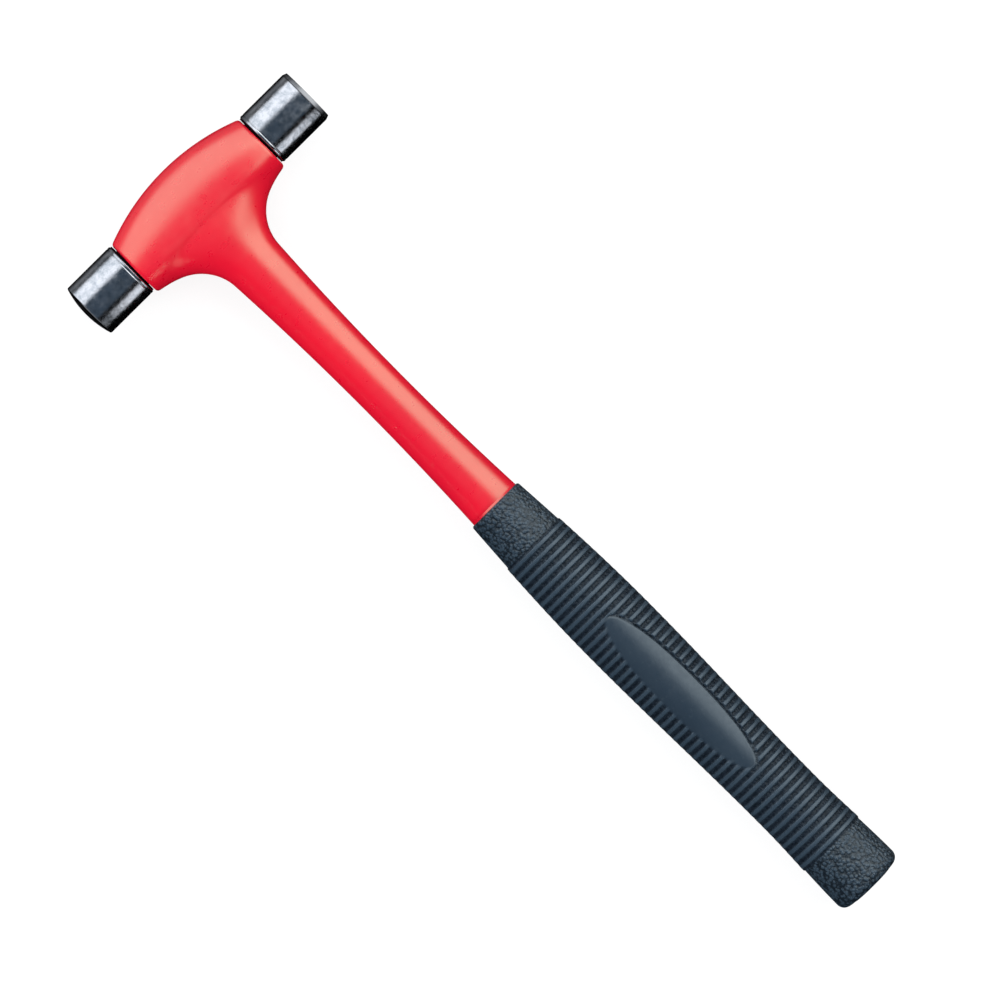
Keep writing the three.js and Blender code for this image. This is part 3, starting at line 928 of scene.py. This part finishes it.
def make_floor():
    """A pale glowing floor that lights nothing, isn't mirrored and stops no light from below it."""
    half = 3.0
    pale, glow = (0.19, 0.21), 0.84
    corners = [(-half, -half, 0), (half, -half, 0), (half, half, 0), (-half, half, 0)]
    floor = mesh_object("floor", corners, [(0, 1, 2, 3)], False)
    n = Nodes("floor_pale")
    tone = n.spread(n.noise(3, 2), 0.3, 0.7, *pale)
    n.finish(Base_Color=tone, Roughness=0.9)
    floor.data.materials.append(n.finish(Emission_Color=(1, 1, 1, 1), Emission_Strength=glow))
    floor.visible_glossy = False
    floor.visible_shadow = False
    floor.visible_diffuse = False


# The lights stand round a point on the shaft near the head, at this distance from it.
STUDIO = Vector((0, AXIS_Y - 40 * MM, AXIS_Z))
STUDIO_RADIUS = 1.2
LIGHT_SPACING = 0.02


def area_light(name, toward, off_vertical, distance, size, energy, colour):
    """An area light of that width and height, turned to the studio's middle from that far away."""
    data = bpy.data.lights.new(name, "AREA")
    data.shape = "RECTANGLE"
    data.size, data.size_y = size
    data.energy = energy
    data.color = colour
    light = bpy.data.objects.new(name, data)
    bpy.context.scene.collection.objects.link(light)
    level = Vector(toward).normalized()
    angle = math.radians(off_vertical)
    away = level * math.sin(angle) + Vector((0, 0, math.cos(angle)))
    right = Vector((0, 0, 1)).cross(level)
    light.location = STUDIO + away * distance
    light.rotation_euler = Matrix((right, away.cross(right), away)).transposed().to_euler()
    return light


def make_softbox(name, toward, low, high, radiance, colour, width=1.8, soft=5):
    """A box of light that the head sees between two angles off the vertical, dimmer along its edges."""
    made = []
    steps = (-1, 0, 1)
    for step in steps:
        half = math.radians((high - low) / 2 + step * soft)
        height = 2 * STUDIO_RADIUS * math.tan(half)
        wide = width * (1 + 0.25 * step)
        energy = radiance / len(steps) * math.pi * wide * height
        part = f"{name}_{step + 2}"
        distance = STUDIO_RADIUS + LIGHT_SPACING * step
        size = (wide, height)
        made.append(area_light(part, toward, (low + high) / 2, distance, size, energy, colour))
    return made


def make_fill(name, toward, off_vertical, strength):
    """A light that brightens the dull surfaces on one side and doesn't mirror in the shiny ones."""
    distance, side = 1.6, 0.5
    energy = strength * (math.pi * distance) ** 2
    light = area_light(name, toward, off_vertical, distance, (side, side), energy, (1, 1, 1))
    light.visible_glossy = False


def only_for(lights, pieces):
    """Lets those lights reach those pieces alone."""
    lit = bpy.data.collections.new("lit_alone")
    for piece in pieces:
        lit.objects.link(piece)
    for light in lights:
        light.light_linking.receiver_collection = lit


def make_lights(steel_faces):
    """Softboxes beyond the head's top and its flat face, a dim ceiling and two fills.

    A low strip and three dim boxes near the floor light the steel faces alone.
    """
    lilac, warm, sky = (0.95, 0.96, 1.0), (1, 0.99, 0.97), (0.5, 0.72, 1.0)
    make_softbox("box_top", (0, 1, 0), 29, 89, 2.05, lilac)
    make_softbox("box_top_under", (0, 1, 0), 100, 128, 0.3, lilac, soft=8)
    make_softbox("box_right", (1, -0.1, 0), 18, 82, 2.5, warm, soft=6)
    for_steel = make_softbox("strip_low", (0, -1, 0), 66, 98, 2.0, lilac, 0.18, soft=4)
    for name, side in (("left", (-1, 0, 0)), ("low_left", (-1, -1, 0)), ("low_right", (1, -1, 0))):
        for_steel += make_softbox("box_" + name, side, 60, 104, 0.5, lilac, 0.9)
    only_for(for_steel, steel_faces)
    make_softbox("ceiling", (0, 1, 0), -44, 28, 0.15, sky, soft=3)
    make_fill("fill_left", (-1, 0.2, 0), 72, 0.75)
    make_fill("fill_low", (-0.3, -1, 0), 68, 0.55)
    world = bpy.data.worlds.new("studio")
    bpy.context.scene.world = world
    world.use_nodes = True
    world.node_tree.nodes["Background"].inputs["Color"].default_value = (0, 0, 0, 1)


def make_camera():
    """Straight down on the hammer, turned so that the handle runs from upper left to lower right."""
    picture_width = 355.4 * MM
    aim = ORIGIN + Vector((2.5 * MM, -150.55 * MM, 0))
    turn = math.radians(-44.78)
    data = bpy.data.cameras.new("camera")
    data.lens = 250
    distance = data.lens / data.sensor_width * picture_width
    camera = bpy.data.objects.new("camera", data)
    bpy.context.scene.collection.objects.link(camera)
    camera.location = aim + Vector((0, 0, distance))
    camera.rotation_euler = (0, 0, turn)
    data.clip_start = 0.05
    bpy.context.scene.camera = camera
    bpy.context.scene.view_settings.view_transform = "Standard"


# ---------------------------------------------------------------- assembly


def assemble():
    """Makes every piece and returns the two steel faces, which have lights of their own."""
    urethane = urethane_material()
    rubber = rubber_material()
    polished = face_material()
    plain = plain_steel_material("tube_steel", 0.32, 300)
    round_shot = plain_steel_material("shot_steel", 0.36, 700)
    place(make_cover(), HAMMER, urethane, "urethane", "urethane_cover", angle=60)
    place(make_grip(), HAMMER, rubber, "grip_rubber", "rubber_grip", angle=0)
    faces = [
        place(make_flat_face(), HAMMER, polished, "face_steel", "flat_face", angle=30),
        place(make_crowned_face(), HAMMER, polished, "face_steel", "crowned_face", angle=30),
    ]
    place(make_tube(), HAMMER, plain, "tube_steel", "canister_tube")
    place(make_socket(), HAMMER, plain, "tube_steel", "rod_socket")
    place(make_rod(), HAMMER, plain, "tube_steel", "core_rod")
    pins = {
        "flat_face_pin": ((PIN_X, 0, 0), PIN_HALF),
        "crowned_face_pin": ((-PIN_X, 0, 0), PIN_HALF),
        "rod_pin": ((0, -ROD_PIN_BELOW, 0), ROD_PIN_HALF),
    }
    for node, (centre, half) in pins.items():
        place(make_pin(node + "_turned", centre, half), HAMMER, plain, "tube_steel", node)
    for node in sorted(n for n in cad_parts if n.startswith("shot_")):
        place(make_ball(node), SHOT, round_shot, "shot_steel", node, angle=0)
    return faces


steel_faces = assemble()
make_floor()
make_lights(steel_faces)
make_camera()
